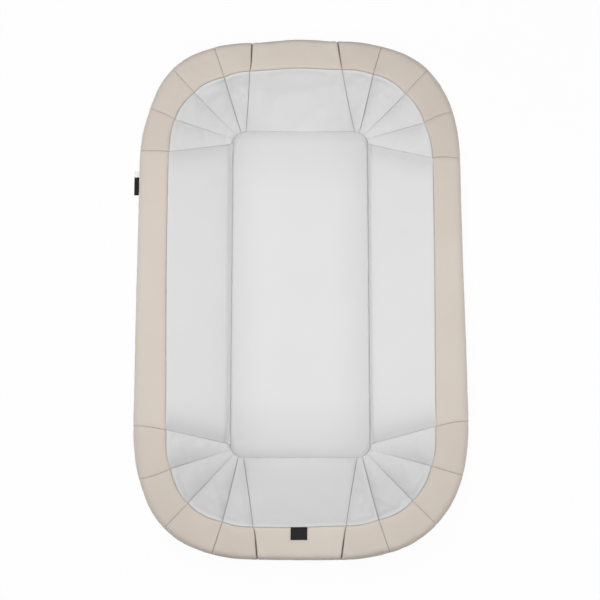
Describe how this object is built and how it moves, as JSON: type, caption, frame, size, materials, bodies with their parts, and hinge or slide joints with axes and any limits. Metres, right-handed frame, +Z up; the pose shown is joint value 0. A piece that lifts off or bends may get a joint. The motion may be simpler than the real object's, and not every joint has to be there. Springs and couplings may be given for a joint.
{
  "type": "infant lounger",
  "caption": "Padded nest with a flat floor pad, sloping mesh-lined walls fanned at the corners, a smooth beige rim and a zipped underside.",
  "frame": {"origin": "middle of the underside, on the surface it lies on", "axes": "+Y towards the head end, +Z up, +X to the right seen from above with the head end away"},
  "size_m": [0.5616, 0.88, 0.0912],
  "materials": {
    "lining_mesh": "matt, fine mesh",
    "beige_jersey": "matt, smooth",
    "foam": "matt",
    "base_cloth": "matt",
    "zip_tape": "matt, woven",
    "zip_coil": "satin",
    "zip_metal": "satin",
    "label_tape": "woven satin"
  },
  "bodies": {
    "cushion": {"base_foot": "base_cloth", "base_head": "base_cloth", "base_tab_left": "base_cloth", "base_tab_right": "base_cloth", "foam_floor": "foam", "foam_foot": "foam", "foam_foot_left_1": "foam", "foam_foot_left_2": "foam", "foam_foot_left_3": "foam", "foam_foot_left_4": "foam", "foam_foot_right_1": "foam", "foam_foot_right_2": "foam", "foam_foot_right_3": "foam", "foam_foot_right_4": "foam", "foam_head": "foam", "foam_head_left_1": "foam", "foam_head_left_2": "foam", "foam_head_left_3": "foam", "foam_head_left_4": "foam", "foam_head_right_1": "foam", "foam_head_right_2": "foam", "foam_head_right_3": "foam", "foam_head_right_4": "foam", "foam_left": "foam", "foam_right": "foam", "lining_floor": "lining_mesh", "lining_foot": "lining_mesh", "lining_foot_left": "lining_mesh", "lining_foot_right": "lining_mesh", "lining_head": "lining_mesh", "lining_head_left": "lining_mesh", "lining_head_right": "lining_mesh", "lining_left": "lining_mesh", "lining_right": "lining_mesh", "rim_foot": "beige_jersey", "rim_foot_left": "beige_jersey", "rim_foot_right": "beige_jersey", "rim_head": "beige_jersey", "rim_head_left": "beige_jersey", "rim_head_right": "beige_jersey", "rim_left": "beige_jersey", "rim_right": "beige_jersey", "side_band": "beige_jersey", "zip_coil_foot": "zip_coil", "zip_coil_head": "zip_coil", "zip_stop_left": "zip_metal", "zip_stop_right": "zip_metal", "zip_tape_foot": "zip_tape", "zip_tape_head": "zip_tape"},
    "zip_slider": {"zip_slider": "zip_metal"},
    "zip_pull": {"zip_pull": "zip_metal"},
    "foot_label": {"foot_label": "label_tape"},
    "side_tag": {"side_tag": "label_tape"}
  },
  "joints": [
    {"name": "zip_travel", "type": "slide", "parent": "cushion", "child": "zip_slider", "axis": [-1, 0, 0], "range_m": [0, 0.449]},
    {"name": "zip_pull_swing", "type": "hinge", "parent": "zip_slider", "child": "zip_pull", "pos_m": [0.2245, -0.17, 0.00285], "axis": [0, -1, 0], "range_deg": [0, 170]},
    {"name": "foot_label_lift", "type": "hinge", "parent": "cushion", "child": "foot_label", "pos_m": [-0.002, -0.389, 0.08401], "axis": [-1, 0, 0], "range_deg": [0, 105]},
    {"name": "side_tag_bend", "type": "hinge", "parent": "cushion", "child": "side_tag", "pos_m": [-0.27585, 0.1875, 0.056], "axis": [0, 1, 0], "range_deg": [-60, 60], "stiffness_Nm_per_rad": 0.002}
  ]
}
